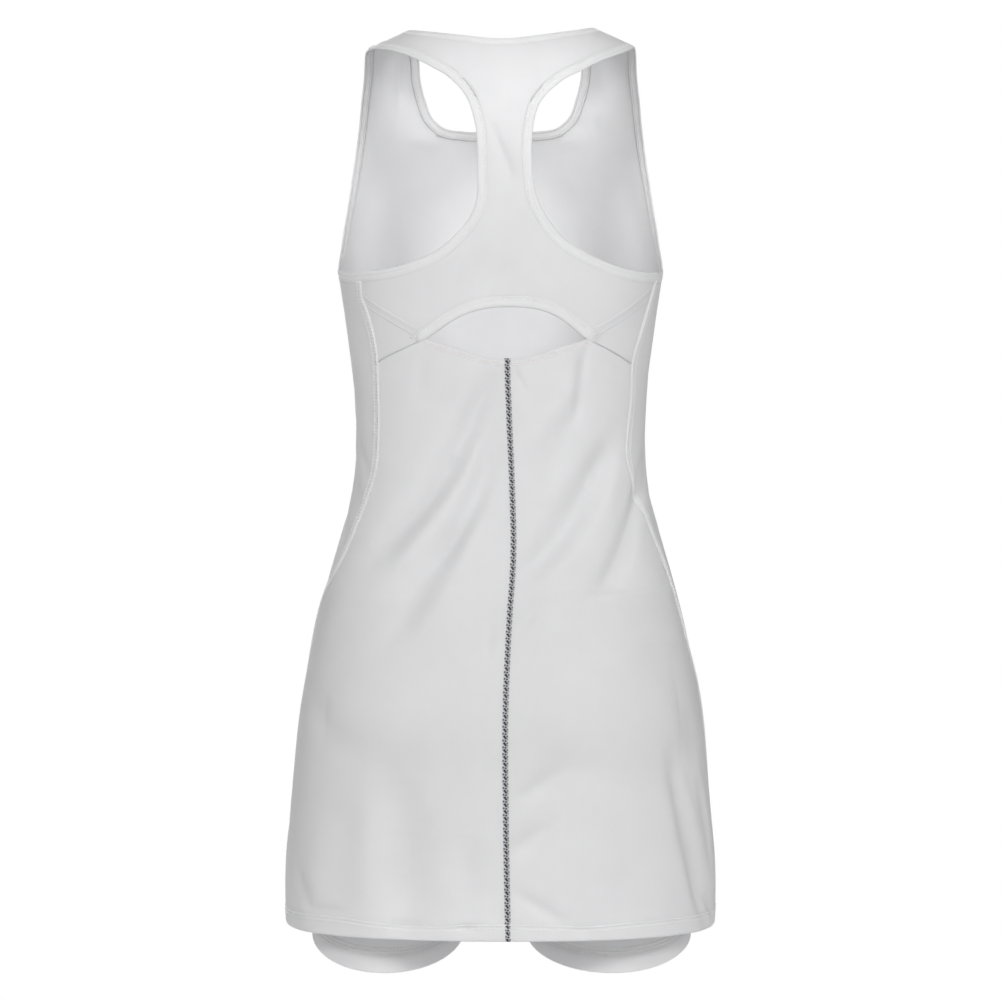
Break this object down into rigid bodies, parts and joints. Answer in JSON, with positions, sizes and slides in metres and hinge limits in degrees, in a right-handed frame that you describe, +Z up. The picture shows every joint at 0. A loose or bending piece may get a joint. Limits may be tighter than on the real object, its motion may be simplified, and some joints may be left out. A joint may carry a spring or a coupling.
{
  "type": "racerback tennis dress with undershorts",
  "caption": "White sleeveless stretch tennis dress, filled out and hollow, with a racerback yoke, a back cut-out, a patterned centre-back tape and built-in undershorts.",
  "frame": {"origin": "midway between the tops of the two shoulder straps, where the wearer's shoulders hold the dress", "axes": "+Z up the wearer's body, -Y the front of the dress, +Y its back, +X the wearer's left"},
  "size_m": [0.3874, 0.2713, 0.8371],
  "materials": {
    "stretch_knit": "fine matt jersey knit with a slight sheen",
    "edge_binding": "folded binding with twin-needle stitching",
    "patterned_tape": "narrow woven tape, dark slanted dashes on white",
    "shorts_knit": "firm stretch knit, twin-needle leg hems"
  },
  "bodies": {
    "root": {"front_panel": "stretch_knit", "side_panel_left": "stretch_knit", "side_panel_right": "stretch_knit", "back_yoke": "stretch_knit", "yoke_gusset_left": "stretch_knit", "yoke_gusset_right": "stretch_knit", "back_panel_left": "stretch_knit", "back_panel_right": "stretch_knit", "hem_band": "stretch_knit", "neck_band_front": "edge_binding", "neck_band_back": "edge_binding", "armhole_band_left": "edge_binding", "armhole_band_right": "edge_binding", "arch_band": "edge_binding", "centre_back_tape": "patterned_tape", "shorts_left": "shorts_knit", "shorts_right": "shorts_knit", "shorts_waistband": "shorts_knit", "shorts_hem_left": "shorts_knit", "shorts_hem_right": "shorts_knit"}
  },
  "joints": []
}
